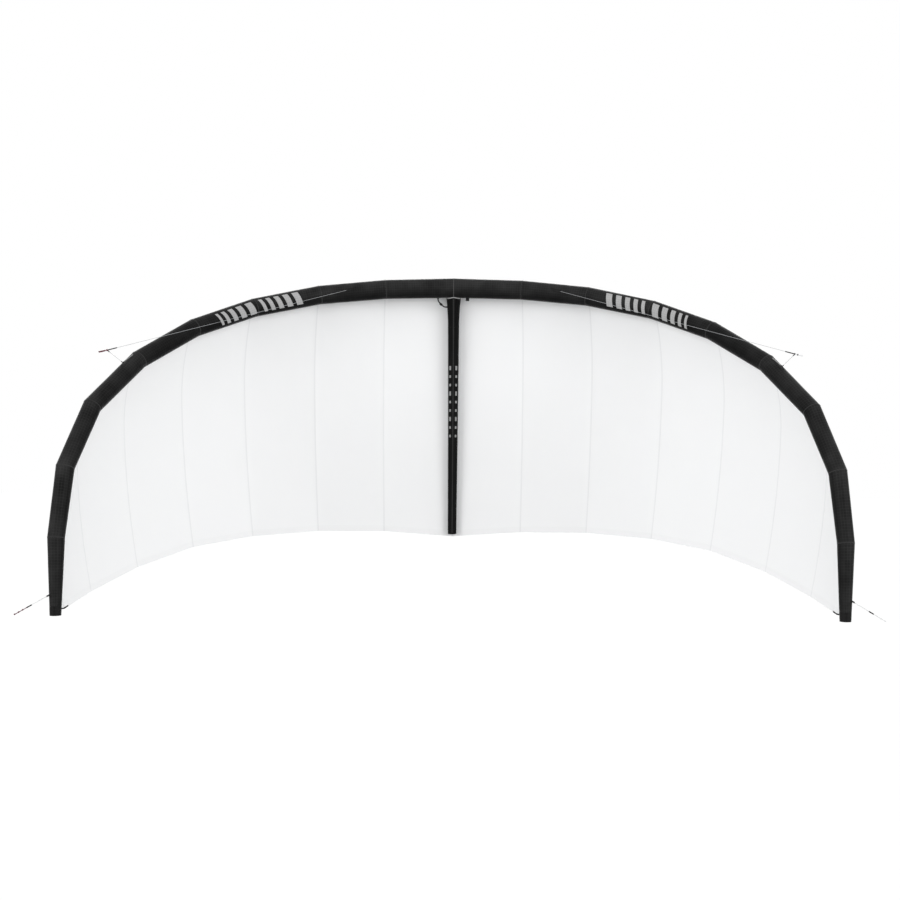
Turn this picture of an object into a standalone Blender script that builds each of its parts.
"""A kitesurfing kite with one strut: inflated leading edge, canopy, strut, valve, hose and bridle.

Metres. X runs along the span, with +X on the right of a rider who faces the kite. Y points from the
rider to the kite, and Z from the trailing edge to the leading edge. The origin is the middle of the
leading edge tube. The kite flies in front of the rider, so its bridle lines are pulled straight.
"""

import math

import bmesh
import bpy
from mathutils import Matrix, Vector

# The wing's overall sizes
HALF_SPAN = 2.572
SWEEP = 2.379
DROOP = 1.86
LE_DIAMETER = 0.154

# The leading edge's joints, from the middle to the tip end, as shares of those sizes
SPAN_SHARES = (0, 0.210, 0.409, 0.594, 0.744, 0.865, 0.948, 0.989, 1, 0.994)
DROOP_SHARES = (0, 0.016, 0.070, 0.194, 0.376, 0.586, 0.796, 0.925, 0.973, 1)
SWEEP_SHARES = (0, 0.007, 0.032, 0.086, 0.166, 0.278, 0.422, 0.596, 0.789, 1)
DIAMETER_SHARES = (1, 0.98, 0.95, 0.91, 0.875, 0.85, 0.815, 0.79, 0.73, 0.48)
TRAILING_SHARES = (0.830, 0.814, 0.812, 0.824, 0.849, 0.898, 0.9525, 0.9896, 0.993, 0.9937)
OUTWARD_DEGREES = (0, 7, 18, 34, 46, 56, 64, 70, 76, 78)
TIP_JOINT = len(SPAN_SHARES) - 1

# Cloth and fits
SEAM_GAP = 0.0003
LE_CLOTH = 0.0012
CANOPY_CLOTH = 0.0008
BLADDER_FILM = 0.0018
BLADDER_CLEARANCE = 0.0012
HOLE_CLEARANCE = 0.0004
CUT_OVERRUN = 0.02
LE_SIDES = 20
BLADDER_SIDES = 12
TIP_END_LENGTH = 0.059
TIP_END_WALL = 0.004

# Canopy
CANOPY_SEAM_DEGREES = 18
CAMBER_SHARE = 0.085
CAMBER_PEAK_SHARE = 0.32
NOSE_FADE_POWER = 1.6
BILLOW_SHARE = 0.035
BAND_WIDTH = 0.04
TIP_CHORD_START_SHARE = 0.82
TRAILING_LIFT_SHARES = (0, 0, 0, 0, 0, 0, 0, 0, 1, 1)
GORE_JOINTS = ((0, 2), (2, 3), (3, 4), (4, 6))
TIP_GORE_JOINTS = (6, 9)
BAND_JOINTS = (0, 6.85)
CORNER_JOINTS = (6.85, 9)
CHORD_STEPS = 10
CHORD_STEP_POWER = 1.35
SPAN_STEPS = 3
NO_BEND_SHARE = 1e-6

# Strut
STRUT_ROOT_DIAMETER = 0.137
STRUT_NECK_DIAMETER = 0.090
STRUT_TAIL_DIAMETER = 0.068
STRUT_NECK_AT = 0.30
STRUT_TAIL_SETBACK = 0.01957
STRUT_TAIL_AT = SWEEP * TRAILING_SHARES[0] - STRUT_TAIL_SETBACK
STRUT_CAP_LENGTH = 0.035
STRUT_CAP_WALL = 0.003
STRUT_CAP_ROUNDING = 0.006
STRUT_SIDES = 20
STRUT_ROOT_STEPS = 5
STRUT_SLEEVE_STEPS = 9

# Inflation valve, on the back of the leading edge, right of the strut
VALVE_X = 0.111
VALVE_COLLAR_RADIUS = 0.014
VALVE_COLLAR_HEIGHT = 0.017
VALVE_NECK_RADIUS = 0.011
VALVE_BORE_RADIUS = 0.0085
VALVE_GRIP_DEPTH = 0.0012
VALVE_NECK_INSIDE = 0.012
VALVE_CAP_THICKNESS = 0.004
VALVE_PLUG_RADIUS = 0.0065
VALVE_PLUG_DEPTH = 0.003
VALVE_LUG_WIDTH = 0.008
VALVE_HINGE_RADIUS = 0.0018
VALVE_ARM_SHARE = 0.8
VALVE_CAP_CORE_RADIUS = 0.0005
TURNED_SIDES = 24

# One-pump hose, left of the strut, with its two fittings and its pinch clip
HOSE_X = 0.124
HOSE_DIAMETER = 0.010
HOSE_BEND_DROP = 0.0215
HOSE_STRUT_DROP = 0.066
HOSE_STRAIGHT = 0.001
HOSE_POINTS = 12
FITTING_FLANGE_RADIUS = 0.0105
FITTING_FLANGE_THICKNESS = 0.002
FITTING_NECK_RADIUS = 0.0045
FITTING_BORE_RADIUS = 0.003
FITTING_REACH = 0.009
FITTING_INSIDE = 0.008
CLIP_LENGTH = 0.016
CLIP_SIDE_CLEARANCE = 0.0012
CLIP_WALL = 0.0022
CLIP_LEVER_THICKNESS = 0.0026
CLIP_BARREL_RADIUS = 0.0017
CLIP_TAB_LENGTH = 0.009
CLIP_TAB_RISE = 0.004
CLIP_TAB_WIDTH_SHARES = (0.9, 0.75)
CLIP_PIN_RADIUS = 0.0011

# Bridle, on each side: routes in metres, right side, along the pulled lines
LINE_DIAMETER = 0.003
SLEEVE_DIAMETER = 0.0065
SLEEVE_LENGTH = 0.075
PIGTAIL_DIAMETER = 0.005
KNOT_DIAMETER = 0.011
HUB_KNOT_DIAMETER = 0.0135
REAR_KNOTS = 3
REAR_KNOT_SPACING = 0.05
STRAP_DIAMETER = 0.006
INNER_ANCHOR_PANEL = 1
INNER_ANCHOR_SPAN_SHARE = 0.3033
INNER_ANCHOR_RISE_DEGREES = 18
ANCHOR_LENGTH = 0.125
ANCHOR_WIDTH = 0.020
ANCHOR_THICKNESS = 0.0035
ANCHOR_EYE_SHARE = 0.45
LOOP_STEPS = 6
LOOP_SINK = 0.008
REAR_ANCHOR_LENGTH = 0.034
REAR_ANCHOR_WIDTH = 0.016
REAR_ANCHOR_AT_SHARE = 0.74
REAR_ANCHOR_FORWARD_DEGREES = 38
FRONT_HUB = Vector((2.091, -2.35, -0.693))
STRAP_APEX = Vector((2.2967, -1.246, -0.691))
STRAP_UPPER_JOINT = 5
STRAP_UPPER_JOINT_SHARE = 0.02
STRAP_LOWER_JOINT_SHARE = 0.33
FRONT_PIGTAIL_PULL = Vector((-0.05, -0.99, -0.13))
FRONT_PIGTAIL_LENGTH = 0.20
REAR_PIGTAIL_END = Vector((2.6672, -2.30, -2.3169))
CORNER_POINTS = 6
KNOT_POINTS = 5


def make_material(name, colour, roughness, metallic=0.0, alpha=1.0):
    material = bpy.data.materials.new(name)
    material.use_nodes = True
    shader = material.node_tree.nodes["Principled BSDF"]
    shader.inputs["Base Color"].default_value = (*colour, 1.0)
    shader.inputs["Roughness"].default_value = roughness
    shader.inputs["Metallic"].default_value = metallic
    shader.inputs["Alpha"].default_value = alpha
    return material


def make_materials():
    return {
        "dacron": make_material("black_dacron", (0.022, 0.023, 0.026), 0.62),
        "strut": make_material("strut_dacron", (0.012, 0.012, 0.014), 0.6),
        "ripstop": make_material("white_ripstop", (0.86, 0.87, 0.88), 0.45),
        "band": make_material("white_band_dacron", (0.8, 0.81, 0.82), 0.55),
        "patch": make_material("dark_patch_dacron", (0.03, 0.031, 0.035), 0.65),
        "film": make_material("bladder_film", (0.75, 0.76, 0.72), 0.3, alpha=0.6),
        "plastic": make_material("black_plastic", (0.02, 0.02, 0.022), 0.4),
        "hose": make_material("black_hose", (0.015, 0.015, 0.017), 0.35),
        "webbing": make_material("black_webbing", (0.018, 0.018, 0.02), 0.75),
        "line": make_material("grey_line", (0.42, 0.43, 0.45), 0.6),
        "red_line": make_material("wine_red_line", (0.26, 0.045, 0.08), 0.6),
    }


def mirrored(point, side):
    """The point as it is on the right, or mirrored to the left when side is -1."""
    return Vector((point.x * side, point.y, point.z))


def mesh_object(name, points, faces, material, smooth_degrees=40):
    """A mesh object made of the points and faces, with its faces turned outwards."""
    mesh = bpy.data.meshes.new(name)
    mesh.from_pydata([tuple(p) for p in points], [], faces)
    sculpt = bmesh.new()
    sculpt.from_mesh(mesh)
    bmesh.ops.recalc_face_normals(sculpt, faces=sculpt.faces)
    sculpt.to_mesh(mesh)
    sculpt.free()
    mesh.shade_smooth()
    mesh.set_sharp_from_angle(angle=math.radians(smooth_degrees))
    mesh.materials.append(material)
    thing = bpy.data.objects.new(name, mesh)
    bpy.context.scene.collection.objects.link(thing)
    return thing


def make_cutter(name, points, faces):
    cutter = mesh_object(name, points, faces, None)
    cutter.hide_render = True
    cutter.display_type = "WIRE"
    return cutter


def cut(thing, cutter):
    modifier = thing.modifiers.new("cut_" + cutter.name, "BOOLEAN")
    modifier.operation = "DIFFERENCE"
    modifier.solver = "EXACT"
    modifier.object = cutter


def ring_faces(first, second, count):
    """Quads between two rings of points that start at these indices."""
    return [
        (first + i, first + (i + 1) % count, second + (i + 1) % count, second + i)
        for i in range(count)
    ]


def closed_loft(rings):
    """A solid through the rings, closed by a flat face at each end."""
    count = len(rings[0])
    points = [p for ring in rings for p in ring]
    faces = []
    for index in range(len(rings) - 1):
        faces += ring_faces(index * count, (index + 1) * count, count)
    last = (len(rings) - 1) * count
    faces.append(tuple(range(count)))
    faces.append(tuple(range(last, last + count)))
    return points, faces


def looped_loft(rings):
    """A solid whose last ring joins its first, such as a pipe that goes out and comes back inside."""
    count = len(rings[0])
    points = [p for ring in rings for p in ring]
    faces = []
    for index in range(len(rings)):
        following = (index + 1) % len(rings)
        faces += ring_faces(index * count, following * count, count)
    return points, faces


def pipe(outer_rings, inner_rings):
    """A pipe open at both ends."""
    return looped_loft(list(outer_rings) + list(reversed(inner_rings)))


def sheet_solid(inner_rows, outer_rows):
    """A thin sheet between two grids of points of the same size."""
    rows, columns = len(inner_rows), len(inner_rows[0])
    points = [p for row in inner_rows for p in row] + [p for row in outer_rows for p in row]
    shift = rows * columns
    faces = []
    for r in range(rows - 1):
        for c in range(columns - 1):
            a, b = r * columns + c, r * columns + c + 1
            d, e = a + columns, b + columns
            faces.append((a, b, e, d))
            faces.append((a + shift, d + shift, e + shift, b + shift))
    border = [c for c in range(columns)]
    border += [r * columns + columns - 1 for r in range(1, rows)]
    border += [(rows - 1) * columns + c for c in range(columns - 2, -1, -1)]
    border += [r * columns for r in range(rows - 2, 0, -1)]
    for a, b in zip(border, border[1:] + border[:1]):
        faces.append((a, b, b + shift, a + shift))
    return points, faces


def circle_directions(first, second, sides):
    """Unit directions round a circle that starts at first and turns to second."""
    turns = [2 * math.pi * i / sides for i in range(sides)]
    return [first * math.cos(turn) + second * math.sin(turn) for turn in turns]


def turned_solid(profile, foot, axis, sides=TURNED_SIDES):
    """A turned solid: the closed profile of (radius, height) pairs, round the axis from its foot."""
    across = axis.orthogonal().normalized()
    beside = axis.cross(across)
    directions = circle_directions(across, beside, sides)
    rings = [[foot + axis * height + d * radius for d in directions] for radius, height in profile]
    return rings


class Station:
    """A place on the right half of the leading edge, with the plane that its ring lies in."""

    def __init__(self, centre, before, after, degrees, radius):
        self.centre = centre
        self.radius = radius
        self.before = before
        self.after = after
        self.along = (before + after).normalized()
        turn = math.radians(degrees)
        self.outward = Vector((math.sin(turn), math.cos(turn), 0))
        ring_outward = self.outward - self.along * self.outward.dot(self.along)
        self.ring_outward = ring_outward.normalized()
        self.back = self.ring_outward.cross(self.along).normalized()
        bend = after - before
        self.stretch_along = bend.normalized() if bend.length > NO_BEND_SHARE else self.back
        self.stretch = 1 / self.along.dot(before)

    def direction(self, degrees):
        """The way from the tube's middle to its wall, turned from outward towards the back."""
        turn = math.radians(degrees)
        around = self.ring_outward * math.cos(turn) + self.back * math.sin(turn)
        more = (self.stretch - 1) * around.dot(self.stretch_along)
        return around + self.stretch_along * more

    def wall_point(self, degrees, offset=0.0):
        return self.centre + self.direction(degrees) * (self.radius + offset)

    def ring(self, offset, sides, shift=0.0):
        """Points of the tube's ring, grown by offset and moved by shift along the tube."""
        moved = self.centre + self.after * shift if shift > 0 else self.centre + self.before * shift
        step = 360 / sides
        return [moved + self.direction(i * step) * (self.radius + offset) for i in range(sides)]


def le_centre(joint):
    return Vector((
        HALF_SPAN * SPAN_SHARES[joint],
        -DROOP * DROOP_SHARES[joint],
        -SWEEP * SWEEP_SHARES[joint],
    ))


def le_radius(joint):
    return LE_DIAMETER * DIAMETER_SHARES[joint] / 2


def joint_station(joint):
    """The mitred seam at a joint; the middle one mirrors the right half in the plane X = 0."""
    centre = le_centre(joint)
    if joint == 0:
        after = (le_centre(1) - centre).normalized()
        before = Vector((after.x, -after.y, -after.z))
    elif joint == TIP_JOINT:
        before = (centre - le_centre(joint - 1)).normalized()
        after = before
    else:
        before = (centre - le_centre(joint - 1)).normalized()
        after = (le_centre(joint + 1) - centre).normalized()
    return Station(centre, before, after, OUTWARD_DEGREES[joint], le_radius(joint))


def station_between(joint, share):
    """A place at a share of the way from a joint to the next, square to the tube."""
    centre = le_centre(joint).lerp(le_centre(joint + 1), share)
    axis = (le_centre(joint + 1) - le_centre(joint)).normalized()
    degrees = OUTWARD_DEGREES[joint] * (1 - share) + OUTWARD_DEGREES[joint + 1] * share
    radius = le_radius(joint) * (1 - share) + le_radius(joint + 1) * share
    return Station(centre, axis, axis, degrees, radius)


def tip_end_share():
    last_panel = (le_centre(TIP_JOINT) - le_centre(TIP_JOINT - 1)).length
    return 1 - TIP_END_LENGTH / last_panel


def tip_end_station():
    return station_between(TIP_JOINT - 1, tip_end_share())


def panel_ends(panel):
    """The two stations of a leading edge panel, counted from the middle."""
    first = joint_station(panel)
    if panel + 1 == TIP_JOINT:
        return first, tip_end_station()
    return first, joint_station(panel + 1)


def build_le_panel(panel, side, side_name, materials):
    """One straight Dacron tube between two mitred seams."""
    first, last = panel_ends(panel)
    half_gap = SEAM_GAP / 2
    outer = [first.ring(0, LE_SIDES, half_gap), last.ring(0, LE_SIDES, -half_gap)]
    inner = [first.ring(-LE_CLOTH, LE_SIDES, half_gap), last.ring(-LE_CLOTH, LE_SIDES, -half_gap)]
    points, faces = pipe(outer, inner)
    points = [mirrored(p, side) for p in points]
    name = f"le_panel_{side_name}_{panel + 1}"
    return mesh_object(name, points, faces, materials["dacron"])


def flattened(ring, height):
    """The ring's points moved to one height, for an end that is cut square to Z."""
    return [Vector((p.x, p.y, height)) for p in ring]


def build_tip_end(side, side_name, materials):
    """The folded closure at the tip of the tube: a cup with a flat end."""
    start = tip_end_station()
    end = joint_station(TIP_JOINT)
    half_gap = SEAM_GAP / 2
    end_height = end.centre.z
    rings = [
        start.ring(-LE_CLOTH, LE_SIDES, half_gap),
        start.ring(0, LE_SIDES, half_gap),
        flattened(end.ring(0, LE_SIDES), end_height),
    ]
    inside = flattened(end.ring(-LE_CLOTH, LE_SIDES), end_height + TIP_END_WALL)
    count = LE_SIDES
    points = [p for ring in rings + [inside] for p in ring]
    faces = ring_faces(0, count, count)
    faces += ring_faces(count, 2 * count, count)
    faces += ring_faces(3 * count, 0, count)
    faces.append(tuple(range(2 * count, 3 * count)))
    faces.append(tuple(range(3 * count, 4 * count)))
    points = [mirrored(p, side) for p in points]
    return mesh_object(f"le_tip_end_{side_name}", points, faces, materials["patch"])


def bladder_stations():
    """Rings of the leading edge bladder, from the left tip to the right one, as (side, station)."""
    last = station_between(TIP_JOINT - 1, tip_end_share())
    right = [joint_station(joint) for joint in range(1, TIP_JOINT)] + [last]
    return [(-1, s) for s in reversed(right)] + [(1, joint_station(0))] + [(1, s) for s in right]


def bladder_ring(side, station, offset):
    """A bladder ring inside the tube; each mirrored ring is turned round to match the others."""
    inscribed = station.radius * (1 - math.cos(math.pi / LE_SIDES))
    ring = station.ring(offset - LE_CLOTH - BLADDER_CLEARANCE - inscribed, BLADDER_SIDES)
    return [mirrored(p, side) for p in ring]


def build_le_bladder(materials, holes):
    """The air bladder of the leading edge, from tip to tip, cut open at the valve and the hose."""
    stations = bladder_stations()
    outer = [bladder_ring(side, station, 0) for side, station in stations]
    inner = [bladder_ring(side, station, -BLADDER_FILM) for side, station in stations]
    return build_closed_bladder("le_bladder", outer, inner, materials, holes)


def build_closed_bladder(name, outer, inner, materials, holes):
    """A bladder: two nested closed skins, joined where the holes cut through both."""
    inset = BLADDER_FILM
    start_axis = (ring_middle(inner[1]) - ring_middle(inner[0])).normalized()
    end_axis = (ring_middle(inner[-2]) - ring_middle(inner[-1])).normalized()
    inner[0] = [p + start_axis * inset for p in inner[0]]
    inner[-1] = [p + end_axis * inset for p in inner[-1]]
    skin = mesh_object(name, *closed_loft(outer), materials["film"])
    hollow = make_cutter(name + "_hollow", *closed_loft(inner))
    for hole in holes:
        cut(skin, hole)
    cut(skin, hollow)
    return skin


def ring_middle(ring):
    return sum(ring, Vector()) / len(ring)


def canopy_station(index):
    """A station of the canopy: the joints, and near the tip the place where the canopy ends."""
    if index < TIP_JOINT:
        return joint_station(index)
    return station_between(TIP_JOINT - 1, TIP_CHORD_START_SHARE)


def camber(share):
    """The canopy's rise along its chord, from 0 at the nose over 1 at its peak to 0 at the back."""
    peak = CAMBER_PEAK_SHARE
    if share < peak:
        return (2 * peak * share - share * share) / (peak * peak)
    return (1 - 2 * peak + 2 * peak * share - share * share) / ((1 - peak) * (1 - peak))


def chord_ends(index):
    """The canopy's front point on the tube and its rear point, at a station."""
    station = canopy_station(index)
    front = station.wall_point(CANOPY_SEAM_DEGREES, SEAM_GAP)
    front_offset = front - station.centre
    lift = TRAILING_LIFT_SHARES[index]
    rear = Vector((
        station.centre.x + front_offset.x * lift,
        station.centre.y + front_offset.y * lift,
        -SWEEP * TRAILING_SHARES[index],
    ))
    return station, front, rear


def chord_line_point(index, share):
    """A point of the canopy's inner face on the chord line of a station."""
    station, front, rear = chord_ends(index)
    chord = front.z - rear.z
    nose_fade = (1 - share) ** NOSE_FADE_POWER
    lift = TRAILING_LIFT_SHARES[index]
    flat_part = rear + (front - rear) * (nose_fade * (1 - lift) + (1 - share) * lift)
    height = chord * CAMBER_SHARE * camber(share) * (1 - lift)
    return Vector((
        flat_part.x + station.outward.x * height,
        flat_part.y + station.outward.y * height,
        front.z - chord * share,
    ))


def canopy_point(place, share, layer, shift=0.0):
    """A point of the canopy at a place along the span, counted in stations.

    The layer is 0 on the inner face and 1 on the outer one, and shift moves it along the span.
    """
    index = min(int(place), TIP_JOINT - 1)
    part = place - index
    near = chord_line_point(index, share)
    far = chord_line_point(index + 1, share)
    outward = canopy_station(index).outward.lerp(canopy_station(index + 1).outward, part).normalized()
    width = (far - near).length
    billow = BILLOW_SHARE * width * 4 * part * (1 - part) * 4 * share * (1 - share)
    across = (far - near).normalized()
    return near.lerp(far, part) + across * shift + outward * (billow + CANOPY_CLOTH * layer)


def band_share(index):
    """Where the trailing band starts on a station's chord."""
    station, front, rear = chord_ends(index)
    return 1 - BAND_WIDTH / (front.z - rear.z)


def band_share_at(place):
    index = min(int(place), TIP_JOINT - 1)
    part = place - index
    return band_share(index) * (1 - part) + band_share(index + 1) * part


def chord_length_at(place):
    index = min(int(place), TIP_JOINT - 1)
    part = place - index
    lengths = [chord_ends(i)[1].z - chord_ends(i)[2].z for i in (index, index + 1)]
    return lengths[0] * (1 - part) + lengths[1] * part


def canopy_piece(name, joints, from_nose, side, material):
    """A cloth panel between two chord lines: the part before the trailing band, or the band itself."""
    first, last = joints
    between = range(math.floor(first * SPAN_STEPS) + 1, math.ceil(last * SPAN_STEPS))
    places = [first] + [i / SPAN_STEPS for i in between] + [last]
    rows = ([], [])
    for place in places:
        half_gap = SEAM_GAP / 2
        shift = half_gap if place == first else -half_gap if place == last else 0.0
        gap_share = half_gap / chord_length_at(place)
        start = 0.0 if from_nose else band_share_at(place) + gap_share
        end = band_share_at(place) - gap_share if from_nose else 1.0
        count = CHORD_STEPS if from_nose else 1
        shares = [start + (end - start) * (i / count) ** CHORD_STEP_POWER for i in range(count + 1)]
        for layer in (0, 1):
            row = [canopy_point(place, share, layer, shift) for share in shares]
            rows[layer].append([mirrored(p, side) for p in row])
    return mesh_object(name, *sheet_solid(*rows), material)


def build_canopy(side, side_name, materials):
    for number, joints in enumerate(GORE_JOINTS, start=1):
        canopy_piece(f"canopy_panel_{side_name}_{number}", joints, True, side, materials["ripstop"])
    canopy_piece(f"canopy_tip_{side_name}", TIP_GORE_JOINTS, True, side, materials["ripstop"])
    canopy_piece(f"trailing_band_{side_name}", BAND_JOINTS, False, side, materials["band"])
    canopy_piece(f"tip_corner_{side_name}", CORNER_JOINTS, False, side, materials["patch"])


def strut_radius(depth):
    """The strut's radius at a depth behind the leading edge's middle: a flared root, then a taper."""
    root, neck, tail = STRUT_ROOT_DIAMETER / 2, STRUT_NECK_DIAMETER / 2, STRUT_TAIL_DIAMETER / 2
    if depth < STRUT_NECK_AT:
        left = 1 - depth / STRUT_NECK_AT
        return neck + (root - neck) * left * left
    run = (depth - STRUT_NECK_AT) / (STRUT_TAIL_AT - STRUT_NECK_AT)
    return neck + (tail - neck) * run


def canopy_height(depth):
    """How far outward the canopy's inner face lies over the strut, at a depth behind the origin."""
    _, front, rear = chord_ends(0)
    share = max(0.0, (front.z + depth) / (front.z - rear.z))
    shares = [band_share(0) * (i / CHORD_STEPS) ** CHORD_STEP_POWER for i in range(CHORD_STEPS + 1)]
    shares.append(1.0)
    for low, high in zip(shares, shares[1:]):
        if share <= high:
            part = (share - low) / (high - low)
            return chord_line_point(0, low).lerp(chord_line_point(0, high), part).y
    return rear.y


def strut_ring(depth, offset, sides=STRUT_SIDES):
    """A ring of the strut, square to Z, whose top lies a seam gap under the canopy."""
    radius = strut_radius(depth)
    middle = Vector((0, canopy_height(depth) - SEAM_GAP - radius, -depth))
    directions = circle_directions(Vector((0, 1, 0)), Vector((1, 0, 0)), sides)
    return [middle + d * (radius + offset) for d in directions]


def strut_depths(start, end, steps):
    return [start + (end - start) * i / steps for i in range(steps + 1)]


def strut_root_depths():
    return strut_depths(LE_DIAMETER / 4, STRUT_NECK_AT, STRUT_ROOT_STEPS)


def le_saddle_cutter():
    """The middle of the leading edge tube, grown by a seam gap, to shape what butts against it."""
    side_ring = joint_station(1).ring(SEAM_GAP, LE_SIDES)
    middle_ring = joint_station(0).ring(SEAM_GAP, LE_SIDES)
    rings = [[mirrored(p, -1) for p in side_ring], middle_ring, side_ring]
    return make_cutter("le_saddle", *closed_loft(rings))


def build_strut(materials, saddle, hose_hole):
    """The strut: a flared root panel, the long sleeve and the closed tail, each over the bladder."""
    root_depths = strut_root_depths()
    outer = [strut_ring(depth, 0) for depth in root_depths]
    inner = [strut_ring(depth, -LE_CLOTH) for depth in root_depths]
    root = mesh_object("strut_root_panel", *pipe(outer, inner), materials["strut"])
    cut(root, saddle)
    cut(root, hose_hole)

    cap_start = STRUT_TAIL_AT - STRUT_CAP_LENGTH
    depths = strut_depths(STRUT_NECK_AT + SEAM_GAP, cap_start - SEAM_GAP, STRUT_SLEEVE_STEPS)
    outer = [strut_ring(depth, 0) for depth in depths]
    inner = [strut_ring(depth, -LE_CLOTH) for depth in depths]
    mesh_object("strut_sleeve", *pipe(outer, inner), materials["strut"])

    rounding_start = STRUT_TAIL_AT - STRUT_CAP_ROUNDING
    cap_floor = STRUT_TAIL_AT - STRUT_CAP_WALL
    outer = [
        strut_ring(cap_start, 0),
        strut_ring(rounding_start, 0),
        strut_ring(STRUT_TAIL_AT, -STRUT_CAP_ROUNDING / 2),
    ]
    inner = [strut_ring(cap_start, -LE_CLOTH), strut_ring(cap_floor, -STRUT_CAP_ROUNDING)]
    count = STRUT_SIDES
    points = [p for ring in outer + inner for p in ring]
    faces = ring_faces(0, count, count) + ring_faces(count, 2 * count, count)
    faces += ring_faces(3 * count, 0, count) + ring_faces(3 * count, 4 * count, count)
    faces.append(tuple(range(2 * count, 3 * count)))
    faces.append(tuple(range(4 * count, 5 * count)))
    mesh_object("strut_tail_cap", points, faces, materials["strut"])


def build_strut_bladder(materials, holes):
    start = LE_DIAMETER / 2 + BLADDER_CLEARANCE * 2
    end = STRUT_TAIL_AT - STRUT_CAP_LENGTH
    depths = [start] + [depth for depth in strut_root_depths() if depth > start]
    depths += strut_depths(STRUT_NECK_AT, end, STRUT_SLEEVE_STEPS)[1:]
    inset = LE_CLOTH + BLADDER_CLEARANCE + STRUT_ROOT_DIAMETER / 2 * (1 - math.cos(math.pi / STRUT_SIDES))
    outer = [strut_ring(depth, -inset, BLADDER_SIDES) for depth in depths]
    inner = [strut_ring(depth, -inset - BLADDER_FILM, BLADDER_SIDES) for depth in depths]
    return build_closed_bladder("strut_bladder", outer, inner, materials, holes)


def le_back_seat(x):
    """The rearmost point of the leading edge tube at a place right of the middle, and the way out."""
    low, high = joint_station(0).wall_point(90), joint_station(1).wall_point(90)
    point = low.lerp(high, x / high.x)
    tube = station_between(0, x / joint_station(1).centre.x)
    return point + tube.back * SEAM_GAP, tube.back


def hole_cutter(name, seat, axis, radius):
    """A round cutter through the walls under a fitting's seat."""
    foot = seat - axis * CUT_OVERRUN
    profile = ((radius, 0), (radius, 2 * CUT_OVERRUN))
    return make_cutter(name, *closed_loft(turned_solid(profile, foot, axis)))


def join(thing, helper):
    """Unites a helper solid with the thing."""
    helper.hide_render = True
    helper.display_type = "WIRE"
    modifier = thing.modifiers.new("join_" + helper.name, "BOOLEAN")
    modifier.operation = "UNION"
    modifier.solver = "EXACT"
    modifier.object = helper


def turned_object(name, profile, foot, axis, material):
    """A ring-shaped turned piece from a closed profile that stays off the axis."""
    return mesh_object(name, *looped_loft(turned_solid(profile, foot, axis)), material)


def block_points(frame, low, high):
    """The corners of a block in a frame, and its faces."""
    rings = []
    for height in (low.z, high.z):
        corners = ((low.x, low.y), (high.x, low.y), (high.x, high.y), (low.x, high.y))
        rings.append([frame @ Vector((x, y, height)) for x, y in corners])
    return closed_loft(rings)


def place_origin(thing, origin):
    """Moves the object's origin without moving its shape."""
    thing.data.transform(Matrix.Translation(-origin))
    thing.location = origin


def valve_seat():
    return le_back_seat(VALVE_X)


def valve_frame():
    """The valve's own frame: Z out of the valve from its seat, X along the leading edge."""
    seat, axis = valve_seat()
    tube = (le_centre(1) - le_centre(0)).normalized()
    beside = axis.cross(tube).normalized()
    frame = Matrix((tube, beside, axis)).transposed().to_4x4()
    frame.translation = seat
    return frame


def valve_hinge():
    """The hinge's place in the valve's frame: on the rider's side of the collar, at its rim."""
    offset = VALVE_COLLAR_RADIUS + VALVE_HINGE_RADIUS
    side = -1 if valve_frame().to_3x3().col[1].y > 0 else 1
    return Vector((0, side * offset, VALVE_COLLAR_HEIGHT + SEAM_GAP + VALVE_HINGE_RADIUS))


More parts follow.
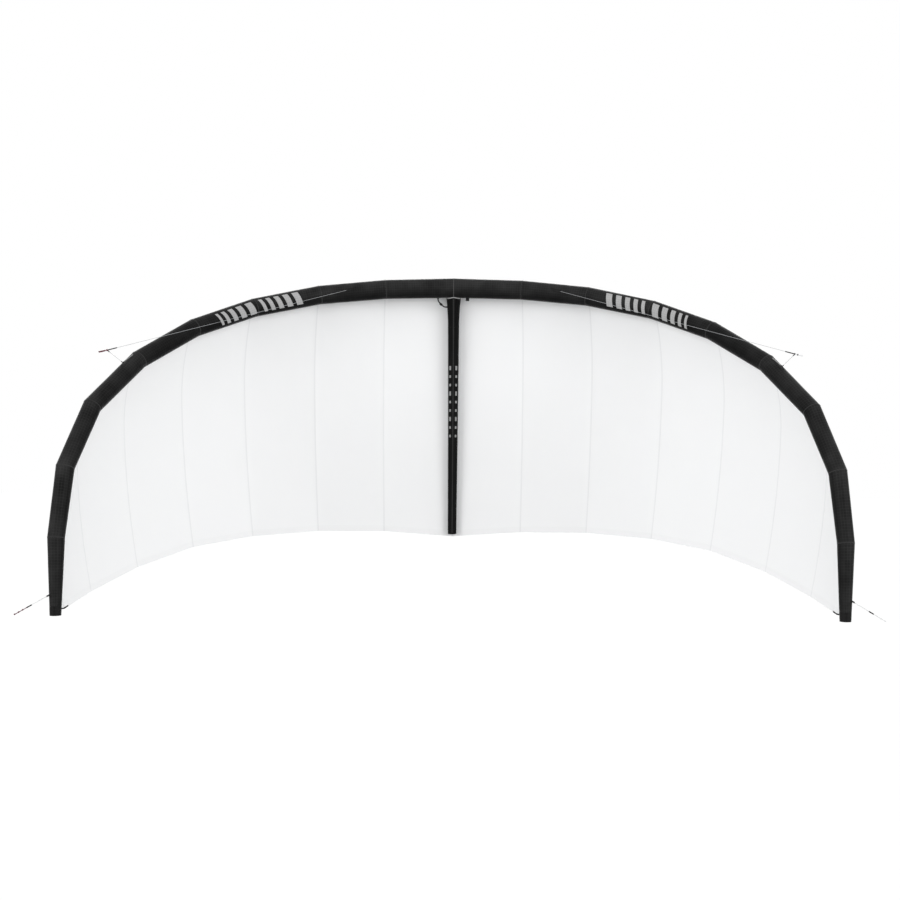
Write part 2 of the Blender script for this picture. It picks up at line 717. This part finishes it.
def build_valve(materials):
    """The inflation valve: a flanged collar with its bore and hinge ears, and the hinged cap."""
    seat, axis = valve_seat()
    frame = valve_frame()
    collar, grip = VALVE_COLLAR_RADIUS, VALVE_GRIP_DEPTH
    height = VALVE_COLLAR_HEIGHT
    profile = (
        (VALVE_BORE_RADIUS, -VALVE_NECK_INSIDE),
        (VALVE_NECK_RADIUS, -VALVE_NECK_INSIDE),
        (VALVE_NECK_RADIUS, 0),
        (collar, 0),
        (collar, height / 4),
        (collar - grip, height / 3),
        (collar - grip, height * 2 / 3),
        (collar, height * 3 / 4),
        (collar, height),
        (VALVE_BORE_RADIUS, height),
    )
    base = turned_object("inflation_valve", profile, seat, axis, materials["plastic"])
    hinge = valve_hinge()
    away = math.copysign(1, hinge.y)
    radius = VALVE_HINGE_RADIUS
    half = VALVE_LUG_WIDTH / 2
    tube = frame.to_3x3().col[0]
    pin_hole = hinge_rod("valve_pin_hole", frame, hinge, tube, radius / 2 + SEAM_GAP, 2 * half)
    for number, sign in enumerate((-1, 1)):
        near = sign * (half / 2 + SEAM_GAP)
        far = sign * half
        depths = sorted((hinge.y + away * radius, away * (collar - 2 * grip)))
        low = Vector((min(near, far), depths[0], height * 3 / 4))
        high = Vector((max(near, far), depths[1], hinge.z + radius))
        ear = mesh_object(f"valve_ear_{number}", *block_points(frame, low, high), None)
        disc = closed_loft(turned_solid(
            ((collar + SEAM_GAP, 0), (collar + SEAM_GAP, 2 * radius + CUT_OVERRUN)),
            seat + axis * (height + SEAM_GAP / 2), axis,
        ))
        cap_room = make_cutter(f"valve_cap_room_{number}", *disc)
        cut(ear, cap_room)
        join(base, ear)
    cut(base, pin_hole)

    cap_profile = (
        (VALVE_CAP_CORE_RADIUS, height + SEAM_GAP - VALVE_PLUG_DEPTH),
        (VALVE_PLUG_RADIUS, height + SEAM_GAP - VALVE_PLUG_DEPTH),
        (VALVE_PLUG_RADIUS, height + SEAM_GAP),
        (collar, height + SEAM_GAP),
        (collar, height + SEAM_GAP + VALVE_CAP_THICKNESS * 3 / 4),
        (collar - grip, height + SEAM_GAP + VALVE_CAP_THICKNESS),
        (VALVE_CAP_CORE_RADIUS, height + SEAM_GAP + VALVE_CAP_THICKNESS),
    )
    cap_rings = turned_solid(cap_profile, seat, axis)
    cap = mesh_object("inflation_valve_cap", *closed_loft(cap_rings), materials["plastic"])
    ear_corner = math.hypot(radius, radius)
    cut(cap, hinge_rod("valve_ear_room", frame, hinge, tube, ear_corner + SEAM_GAP, half + SEAM_GAP))
    arm_half = half / 2
    depths = sorted((hinge.y, away * (collar - 2 * grip)))
    rim = radius * VALVE_ARM_SHARE
    low = Vector((-arm_half, depths[0], hinge.z - rim))
    high = Vector((arm_half, depths[1], hinge.z + rim))
    join(cap, mesh_object("valve_cap_arm", *block_points(frame, low, high), None))
    join(cap, hinge_rod("valve_cap_barrel", frame, hinge, tube, radius, arm_half))
    join(cap, hinge_rod("valve_cap_pin", frame, hinge, tube, radius / 2, half))
    place_origin(cap, frame @ hinge)


def hinge_rod(name, frame, centre, axis, radius, half_length):
    """A round rod about a hinge's axis, to join or to cut."""
    foot = frame @ centre - axis * half_length
    profile = ((radius, 0), (radius, 2 * half_length))
    rod = mesh_object(name, *closed_loft(turned_solid(profile, foot, axis)), None)
    rod.hide_render = True
    rod.display_type = "WIRE"
    return rod


def build_fitting(name, seat, axis, material):
    """A hose fitting: a flange on the cloth, a neck into the bladder and a barbed end for the hose."""
    neck, bore = FITTING_NECK_RADIUS, FITTING_BORE_RADIUS
    profile = (
        (bore, -FITTING_INSIDE),
        (neck, -FITTING_INSIDE),
        (neck, 0),
        (FITTING_FLANGE_RADIUS, 0),
        (FITTING_FLANGE_RADIUS, FITTING_FLANGE_THICKNESS / 2),
        (HOSE_DIAMETER / 2 + FITTING_FLANGE_THICKNESS / 2, FITTING_FLANGE_THICKNESS),
        (HOSE_DIAMETER / 2 + FITTING_FLANGE_THICKNESS / 2, FITTING_REACH),
        (bore, FITTING_REACH),
    )
    return turned_object(name, profile, seat, axis, material)


def hose_le_seat():
    seat, axis = le_back_seat(HOSE_X)
    return mirrored(seat, -1), mirrored(axis, -1)


def hose_strut_seat():
    """The left side of the strut, where the hose enters, clear of the flare under the flange."""
    depth = LE_DIAMETER / 2 + HOSE_STRUT_DROP
    reach = strut_radius(depth - FITTING_FLANGE_RADIUS) + SEAM_GAP
    height = canopy_height(depth) - SEAM_GAP - strut_radius(depth)
    return Vector((-reach, height, -depth)), Vector((-1, 0, 0))


def hose_point(share):
    """A point on the hose's middle line: it leaves the tube backwards and enters the strut sideways."""
    le_seat, le_axis = hose_le_seat()
    strut_seat, strut_axis = hose_strut_seat()
    start = le_seat + le_axis * (FITTING_REACH + SEAM_GAP + HOSE_STRAIGHT)
    end = strut_seat + strut_axis * (FITTING_REACH + SEAM_GAP + HOSE_STRAIGHT)
    first = start + le_axis * HOSE_BEND_DROP
    second = end + strut_axis * HOSE_BEND_DROP
    left = 1 - share
    return (start * left ** 3 + first * (3 * left * left * share)
            + second * (3 * left * share * share) + end * share ** 3)


def build_cord(name, points, diameters, material):
    """A round cord through the points, with its own diameter at each."""
    curve = bpy.data.curves.new(name, "CURVE")
    curve.dimensions = "3D"
    curve.bevel_depth = max(diameters) / 2
    curve.bevel_resolution = 2
    curve.use_fill_caps = True
    spline = curve.splines.new("POLY")
    spline.points.add(len(points) - 1)
    for point, place, diameter in zip(spline.points, points, diameters):
        point.co = (*place, 1)
        point.radius = diameter / max(diameters)
    curve.materials.append(material)
    cord = bpy.data.objects.new(name, curve)
    bpy.context.scene.collection.objects.link(cord)
    return cord


def build_hose(materials):
    """The one-pump hose and its two fittings."""
    build_fitting("le_hose_fitting", *hose_le_seat(), materials["plastic"])
    build_fitting("strut_hose_fitting", *hose_strut_seat(), materials["plastic"])
    points = [hose_point(i / HOSE_POINTS) for i in range(HOSE_POINTS + 1)]
    points.insert(0, points[0] - hose_le_seat()[1] * HOSE_STRAIGHT)
    points.append(points[-1] - hose_strut_seat()[1] * HOSE_STRAIGHT)
    build_cord("one_pump_hose", points, [HOSE_DIAMETER] * len(points), materials["hose"])


def clip_frame():
    """The clip's frame at the hose's middle: X along the hose, Z towards the rider."""
    middle = hose_point(0.5)
    along = (hose_point(0.55) - hose_point(0.45)).normalized()
    out = Vector((0, -1, 0))
    out = (out - along * out.dot(along)).normalized()
    across = out.cross(along)
    frame = Matrix((along, across, out)).transposed().to_4x4()
    frame.translation = middle
    return frame


def clip_hinge():
    """The lever's pin, in the clip's frame."""
    return Vector((
        -CLIP_LENGTH / 2 + CLIP_LEVER_THICKNESS,
        0,
        HOSE_DIAMETER / 2 + SEAM_GAP + CLIP_BARREL_RADIUS,
    ))


def build_clip(materials):
    """The pinch clip on the hose: a channel round it, and the lever that closes on it."""
    frame = clip_frame()
    hinge = clip_hinge()
    inside = HOSE_DIAMETER / 2 + CLIP_SIDE_CLEARANCE
    outside = inside + CLIP_WALL
    floor = -HOSE_DIAMETER / 2 - SEAM_GAP
    top = hinge.z + CLIP_LEVER_THICKNESS / 2
    section = (
        (-outside, floor - CLIP_WALL), (outside, floor - CLIP_WALL), (outside, top), (inside, top),
        (inside, floor), (-inside, floor), (-inside, top), (-outside, top),
    )
    rings = [
        [frame @ Vector((x, y, z)) for y, z in section]
        for x in (-CLIP_LENGTH / 2, CLIP_LENGTH / 2)
    ]
    base = mesh_object("hose_clip", *closed_loft(rings), materials["plastic"])
    across = frame.to_3x3().col[1]
    cut(base, hinge_rod("clip_pin_hole", frame, hinge, across, CLIP_PIN_RADIUS + SEAM_GAP, 2 * outside))

    half = inside - SEAM_GAP
    thickness = CLIP_LEVER_THICKNESS
    end = CLIP_LENGTH / 2
    low = Vector((hinge.x, -half, hinge.z - thickness / 2))
    high = Vector((end, half, hinge.z + thickness / 2))
    lever = mesh_object("hose_clip_lever", *block_points(frame, low, high), materials["plastic"])
    tab_rings = []
    places = ((end - thickness, 0), (end + CLIP_TAB_LENGTH, CLIP_TAB_RISE))
    for (x, rise), share in zip(places, CLIP_TAB_WIDTH_SHARES):
        width = half * share
        rim = thickness / 2 * share
        corners = ((-width, -rim), (width, -rim), (width, rim), (-width, rim))
        tab_rings.append([frame @ Vector((x, y, hinge.z + rise + z)) for y, z in corners])
    join(lever, mesh_object("clip_tab", *closed_loft(tab_rings), None))
    join(lever, hinge_rod("clip_barrel", frame, hinge, across, CLIP_BARREL_RADIUS, half))
    join(lever, hinge_rod("clip_pin", frame, hinge, across, CLIP_PIN_RADIUS, outside))
    place_origin(lever, frame @ hinge)


def capsule(length, width, steps):
    """Points round a slot shape that starts at (0, 0) and runs to (length, 0)."""
    radius = width / 2
    points = []
    for i in range(steps + 1):
        turn = math.pi / 2 + math.pi * i / steps
        points.append((radius + radius * math.cos(turn), radius * math.sin(turn)))
    for i in range(steps + 1):
        turn = -math.pi / 2 + math.pi * i / steps
        points.append((length - radius + radius * math.cos(turn), radius * math.sin(turn)))
    return points


def tube_cutter(name, panel, side):
    """One leading edge panel, grown by a seam gap, to shape what stands on it."""
    rings = [[mirrored(p, side) for p in end.ring(SEAM_GAP, LE_SIDES)] for end in panel_ends(panel)]
    return make_cutter(name, *closed_loft(rings))


def build_loop(name, seat, direction, length, width, panel, side, material):
    """A flat loop of webbing on a leading edge panel, with its flat sides facing the span."""
    foot = seat - direction * LOOP_SINK
    length += LOOP_SINK
    across = direction.cross(Vector((1, 0, 0))).normalized()
    flat = direction.cross(across)
    border = (width - ANCHOR_EYE_SHARE * width) / 2
    outer = capsule(length, width, LOOP_STEPS)
    eye = [(x + border, y) for x, y in capsule(length - 2 * border, width - 2 * border, LOOP_STEPS)]
    rings = []
    for outline, lift in ((outer, -1), (outer, 1), (eye, 1), (eye, -1)):
        rise = flat * (lift * ANCHOR_THICKNESS / 2)
        ring = [foot + direction * x + across * y + rise for x, y in outline]
        rings.append([mirrored(p, side) for p in ring])
    loop = mesh_object(name, *looped_loft(rings), material)
    cut(loop, tube_cutter(name + "_seat", panel, side))


def ball_profile(radius, least, count=KNOT_POINTS):
    """Offsets along a cord and the cord's diameters there, that together draw a round knot."""
    offsets = [radius * math.sin(math.pi / 2 * i / count) for i in range(-count, count + 1)]
    return [(x, max(least, 2 * math.sqrt(max(0.0, radius * radius - x * x)))) for x in offsets]


def knotted_cord(name, start, end, diameter, knots, side, material):
    """A straight cord with a round knot at each given distance from its start."""
    direction = (end - start).normalized()
    length = (end - start).length
    marks = [(0.0, diameter), (length, diameter)]
    radius = KNOT_DIAMETER / 2
    for knot in knots:
        marks = [mark for mark in marks if abs(mark[0] - knot) > radius]
        marks += [(knot + x, d) for x, d in ball_profile(radius, diameter)]
    marks.sort()
    points = [mirrored(start + direction * x, side) for x, _ in marks]
    return build_cord(name, points, [d for _, d in marks], material)


def rounded_corner(first, corner, last, reach, count=CORNER_POINTS):
    """Points from first to last by way of a corner that a smooth bend replaces."""
    turn_in = corner + (first - corner).normalized() * reach
    turn_out = corner + (last - corner).normalized() * reach
    points = [first]
    for i in range(count + 1):
        share = i / count
        left = 1 - share
        points.append(turn_in * left * left + corner * (2 * left * share) + turn_out * share * share)
    points.append(last)
    return points


def cord_foot(place, target, diameter):
    """Where a cord of this diameter that comes from a target ends, a seam gap off the tube's wall."""
    away = target - place.centre
    away -= place.along * away.dot(place.along)
    wall = place.centre + away.normalized() * (place.radius + SEAM_GAP)
    pull = (target - wall).normalized()
    tilt = pull.angle(away)
    return wall + pull * (diameter / 2 * math.tan(tilt))


def inner_anchor_foot():
    """The foot of the inner bridle anchor, on the rider's side of the leading edge."""
    share = INNER_ANCHOR_SPAN_SHARE * HALF_SPAN
    low, high = (le_centre(INNER_ANCHOR_PANEL + i).x for i in (0, 1))
    place = station_between(INNER_ANCHOR_PANEL, (share - low) / (high - low))
    return place.wall_point(180 + INNER_ANCHOR_RISE_DEGREES, SEAM_GAP)


def strap_points():
    """The route of the V strap: from the tube out to its apex and back to the tube."""
    upper = station_between(STRAP_UPPER_JOINT, STRAP_UPPER_JOINT_SHARE)
    lower = station_between(STRAP_UPPER_JOINT, STRAP_LOWER_JOINT_SHARE)
    first = cord_foot(upper, STRAP_APEX, STRAP_DIAMETER)
    last = cord_foot(lower, STRAP_APEX, STRAP_DIAMETER)
    return rounded_corner(first, STRAP_APEX, last, 4 * STRAP_DIAMETER)


def build_bridle(side, side_name, materials):
    """The front bridle: inner anchor and line, V strap and outer line, and the pigtail at the hub."""
    foot = inner_anchor_foot()
    to_hub = (FRONT_HUB - foot).normalized()
    build_loop(
        f"inner_bridle_anchor_{side_name}", foot, to_hub, ANCHOR_LENGTH, ANCHOR_WIDTH,
        INNER_ANCHOR_PANEL, side, materials["webbing"],
    )
    hub_reach = HUB_KNOT_DIAMETER / 2 + SEAM_GAP
    start = foot + to_hub * (ANCHOR_LENGTH + SEAM_GAP)
    end = FRONT_HUB - to_hub * hub_reach
    sleeve = end - to_hub * SLEEVE_LENGTH
    points = [mirrored(p, side) for p in (start, sleeve, sleeve + to_hub * SLEEVE_DIAMETER, end)]
    diameters = [LINE_DIAMETER] * 2 + [SLEEVE_DIAMETER] * 2
    build_cord(f"inner_bridle_line_{side_name}", points, diameters, materials["line"])

    route = strap_points()
    half = len(route) // 2
    before, middle, after = route[half - 1:half + 2]
    points = [mirrored(p, side) for p in route]
    build_cord(f"v_strap_{side_name}", points, [STRAP_DIAMETER] * len(points), materials["webbing"])
    to_hub = (FRONT_HUB - middle).normalized()
    lean = (after - before).angle(to_hub)
    reach = (STRAP_DIAMETER / 2 + SEAM_GAP) / math.sin(lean) + LINE_DIAMETER / 2 / abs(math.tan(lean))
    start = middle + to_hub * reach
    end = FRONT_HUB - to_hub * hub_reach
    points = [mirrored(p, side) for p in (start, end)]
    build_cord(f"outer_bridle_line_{side_name}", points, [LINE_DIAMETER] * 2, materials["line"])

    pull = FRONT_PIGTAIL_PULL.normalized()
    colour = materials["red_line"] if side < 0 else materials["line"]
    radius = HUB_KNOT_DIAMETER / 2
    marks = [m for m in ball_profile(radius, PIGTAIL_DIAMETER / 2) if m[0] < 0 or m[1] > PIGTAIL_DIAMETER]
    end_ball = ball_profile(KNOT_DIAMETER / 2, PIGTAIL_DIAMETER / 2)
    end_knot = [(FRONT_PIGTAIL_LENGTH + x, d) for x, d in end_ball]
    marks.append((2 * radius, PIGTAIL_DIAMETER))
    marks.append((FRONT_PIGTAIL_LENGTH - KNOT_DIAMETER, PIGTAIL_DIAMETER))
    marks += [m for m in end_knot if m[0] > FRONT_PIGTAIL_LENGTH or m[1] > PIGTAIL_DIAMETER]
    points = [mirrored(FRONT_HUB + pull * x, side) for x, _ in marks]
    build_cord(f"front_pigtail_{side_name}", points, [d for _, d in marks], colour)


def build_rear_pigtail(side, side_name, materials):
    """The webbing loop at the wing tip and its pigtail with stopper knots."""
    place = station_between(TIP_JOINT - 1, REAR_ANCHOR_AT_SHARE)
    foot = place.wall_point(-REAR_ANCHOR_FORWARD_DEGREES, SEAM_GAP)
    pull = (REAR_PIGTAIL_END - foot).normalized()
    build_loop(
        f"rear_anchor_{side_name}", foot, pull, REAR_ANCHOR_LENGTH, REAR_ANCHOR_WIDTH,
        TIP_JOINT - 1, side, materials["webbing"],
    )
    start = foot + pull * (REAR_ANCHOR_LENGTH + SEAM_GAP)
    length = (REAR_PIGTAIL_END - start).length
    knots = [length - KNOT_DIAMETER / 2 - number * REAR_KNOT_SPACING for number in range(REAR_KNOTS)]
    colour = materials["red_line"] if side < 0 else materials["line"]
    name = f"rear_pigtail_{side_name}"
    knotted_cord(name, start, REAR_PIGTAIL_END, PIGTAIL_DIAMETER, knots, side, colour)


def main():
    for thing in list(bpy.data.objects):
        bpy.data.objects.remove(thing)
    materials = make_materials()
    saddle = le_saddle_cutter()
    fitting_hole = FITTING_NECK_RADIUS + HOLE_CLEARANCE
    valve_hole = hole_cutter("valve_hole", *valve_seat(), VALVE_NECK_RADIUS + HOLE_CLEARANCE)
    le_hose_hole = hole_cutter("le_hose_hole", *hose_le_seat(), fitting_hole)
    strut_hose_hole = hole_cutter("strut_hose_hole", *hose_strut_seat(), fitting_hole)
    for side, side_name in ((1, "right"), (-1, "left")):
        for panel in range(TIP_JOINT):
            tube = build_le_panel(panel, side, side_name, materials)
            if panel == 0:
                cut(tube, valve_hole if side > 0 else le_hose_hole)
        build_tip_end(side, side_name, materials)
        build_canopy(side, side_name, materials)
        build_bridle(side, side_name, materials)
        build_rear_pigtail(side, side_name, materials)
    build_le_bladder(materials, (valve_hole, le_hose_hole))
    build_strut(materials, saddle, strut_hose_hole)
    build_strut_bladder(materials, (strut_hose_hole,))
    build_valve(materials)
    build_hose(materials)
    build_clip(materials)


main()
